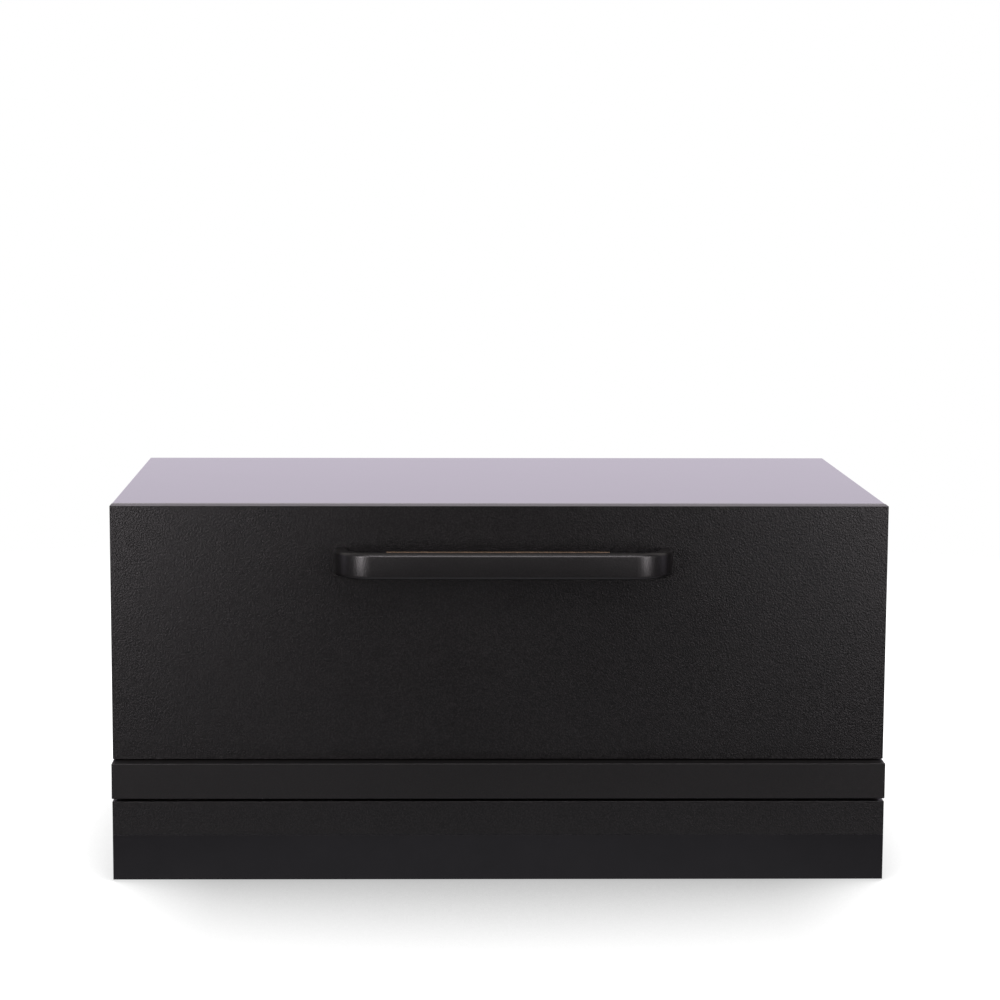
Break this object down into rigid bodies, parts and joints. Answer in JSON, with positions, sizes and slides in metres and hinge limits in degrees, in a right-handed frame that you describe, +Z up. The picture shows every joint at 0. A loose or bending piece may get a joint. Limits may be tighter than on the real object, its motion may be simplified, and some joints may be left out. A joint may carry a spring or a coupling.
{
  "type": "trash compactor",
  "caption": "Low, wide cabinet with a full-width pull-out drawer bin, bow handle and push-in toe bar, and a screw-driven ram that presses refuse down.",
  "frame": {"origin": "on the floor, at the centre of the whole width and of the whole depth with the handle", "axes": "+X right as seen from the front, -Y out of the drawer front, +Z up"},
  "size_m": [0.6, 0.366, 0.293],
  "materials": {
    "textured_black": "fine textured black powder coat, satin",
    "gloss_black": "smooth high-gloss black paint",
    "kick_black": "smooth semi-gloss black paint",
    "galvanised": "galvanised sheet, faint spangle",
    "zinc_steel": "bright zinc plate",
    "dark_screws": "black oxide",
    "machined_steel": "machined, lightly greased",
    "oiled_steel": "oiled roller chain steel",
    "spring_steel": "drawn wire",
    "bearing_steel": "cast housing",
    "bronze": "turned bronze",
    "motor_grey": "satin grey enamel",
    "cast_aluminium": "as-cast",
    "capacitor_can": "drawn can",
    "circuit_green": "solder mask",
    "black_plastic": "moulded, fine spark texture",
    "nylon": "natural nylon",
    "filter_grey": "moulded cartridge",
    "rubber": "matt moulded rubber",
    "bin_grey": "satin grey paint",
    "ram_grey": "satin light grey paint",
    "beam_blue": "satin enamel",
    "magnet": "ceramic magnet, matt",
    "green_button": "moulded, polished",
    "red_rocker": "moulded, polished",
    "key_chrome": "polished"
  },
  "bodies": {
    "cabinet": {"base_pan": "galvanised", "feet": "rubber", "kick_plate": "kick_black", "plinth_panel": "textured_black", "left_side_panel": "textured_black", "right_side_panel": "textured_black", "top_panel": "gloss_black", "back_panel": "galvanised", "inlet_cover": "galvanised", "left_frame": "galvanised", "right_frame": "galvanised", "top_frame": "galvanised", "deck_plate": "galvanised", "front_rail": "galvanised", "gearmotor_can": "motor_grey", "gearbox": "cast_aluminium", "motor_bracket": "galvanised", "motor_capacitor": "capacitor_can", "control_board": "circuit_green", "drive_chain": "oiled_steel", "sync_chain": "oiled_steel", "screw_bearings": "bearing_steel", "screw_bushings": "bronze", "power_inlet": "black_plastic", "control_pocket": "black_plastic", "start_switch": "black_plastic", "power_switch": "black_plastic", "key_switch": "black_plastic", "ram_limit_switch": "black_plastic", "slide_outer_members": "zinc_steel", "toe_bar_bushings": "nylon", "toe_bar_springs": "spring_steel", "latch_pin": "zinc_steel", "odor_filter": "filter_grey", "cabinet_screws": "dark_screws"},
    "drawer": {"drawer_skin": "textured_black", "drawer_liner": "galvanised", "handle": "textured_black", "handle_screws": "zinc_steel", "drawer_tray": "galvanised", "bin": "bin_grey", "slide_inner_members": "zinc_steel", "latch_strike": "zinc_steel"},
    "middle_slides": {"slide_middle_members": "zinc_steel"},
    "ram": {"ram_box": "ram_grey", "ram_beam": "beam_blue", "ram_nuts": "bronze", "ram_bolts": "zinc_steel"},
    "left_screw": {"left_power_screw": "machined_steel", "left_sprocket": "oiled_steel"},
    "right_screw": {"right_power_screw": "machined_steel", "right_sprocket": "oiled_steel"},
    "gear_output": {"drive_sprocket": "oiled_steel"},
    "toe_bar": {"toe_bar": "textured_black", "toe_bar_rods": "zinc_steel"},
    "latch": {"latch_lever": "zinc_steel", "latch_magnet": "magnet"},
    "start_button": {"start_button": "green_button"},
    "power_rocker": {"power_rocker": "red_rocker"},
    "key_cylinder": {"key_cylinder": "key_chrome"}
  },
  "joints": [
    {"name": "drawer_slide", "type": "slide", "parent": "cabinet", "child": "drawer", "axis": [0, -1, 0], "range_m": [0, 0.26]},
    {"name": "ram_travel", "type": "slide", "parent": "cabinet", "child": "ram", "axis": [0, 0, 1], "range_m": [-0.066, 0]},
    {"name": "toe_bar_push", "type": "slide", "parent": "cabinet", "child": "toe_bar", "axis": [0, 1, 0], "range_m": [0, 0.008], "stiffness_N_per_m": 800, "springref_m": -0.005, "deforming": ["toe_bar_springs"]},
    {"name": "start_press", "type": "slide", "parent": "cabinet", "child": "start_button", "axis": [-1, 0, 0], "range_m": [0, 0.0025], "stiffness_N_per_m": 400, "springref_m": -0.002},
    {"name": "power_rock", "type": "hinge", "parent": "cabinet", "child": "power_rocker", "pos_m": [0.29, -0.082, 0.207], "axis": [0, -1, 0], "range_deg": [0, 16]},
    {"name": "key_turn", "type": "hinge", "parent": "cabinet", "child": "key_cylinder", "pos_m": [0.29, -0.066, 0.235], "axis": [1, 0, 0], "range_deg": [0, 90]},
    {"name": "middle_slide_travel", "type": "slide", "parent": "cabinet", "child": "middle_slides", "axis": [0, -1, 0], "range_m": [0, 0.1305]},
    {"name": "left_screw_turn", "type": "hinge", "parent": "cabinet", "child": "left_screw", "pos_m": [-0.276, 0, 0.02], "axis": [0, 0, 1], "range_deg": [0, 1980.5]},
    {"name": "right_screw_turn", "type": "hinge", "parent": "cabinet", "child": "right_screw", "pos_m": [0.276, 0, 0.02], "axis": [0, 0, 1], "range_deg": [0, 1980.5]},
    {"name": "gear_output_turn", "type": "hinge", "parent": "cabinet", "child": "gear_output", "pos_m": [0.2, 0.062, 0.04], "axis": [0, 0, 1], "range_deg": [0, 1980.5]},
    {"name": "latch_tilt", "type": "hinge", "parent": "cabinet", "child": "latch", "pos_m": [0, -0.111, 0.06], "axis": [-1, 0, 0], "range_deg": [0, 25.2]}
  ],
  "couplings": [
    {"joint": "middle_slide_travel", "follows": "drawer_slide", "ratio": 0.5},
    {"joint": "left_screw_turn", "follows": "ram_travel", "rad_per_m": -523.6},
    {"joint": "right_screw_turn", "follows": "ram_travel", "rad_per_m": -523.6},
    {"joint": "gear_output_turn", "follows": "ram_travel", "rad_per_m": -523.6},
    {"joint": "latch_tilt", "follows": "toe_bar_push", "rad_per_m": 54.542}
  ]
}
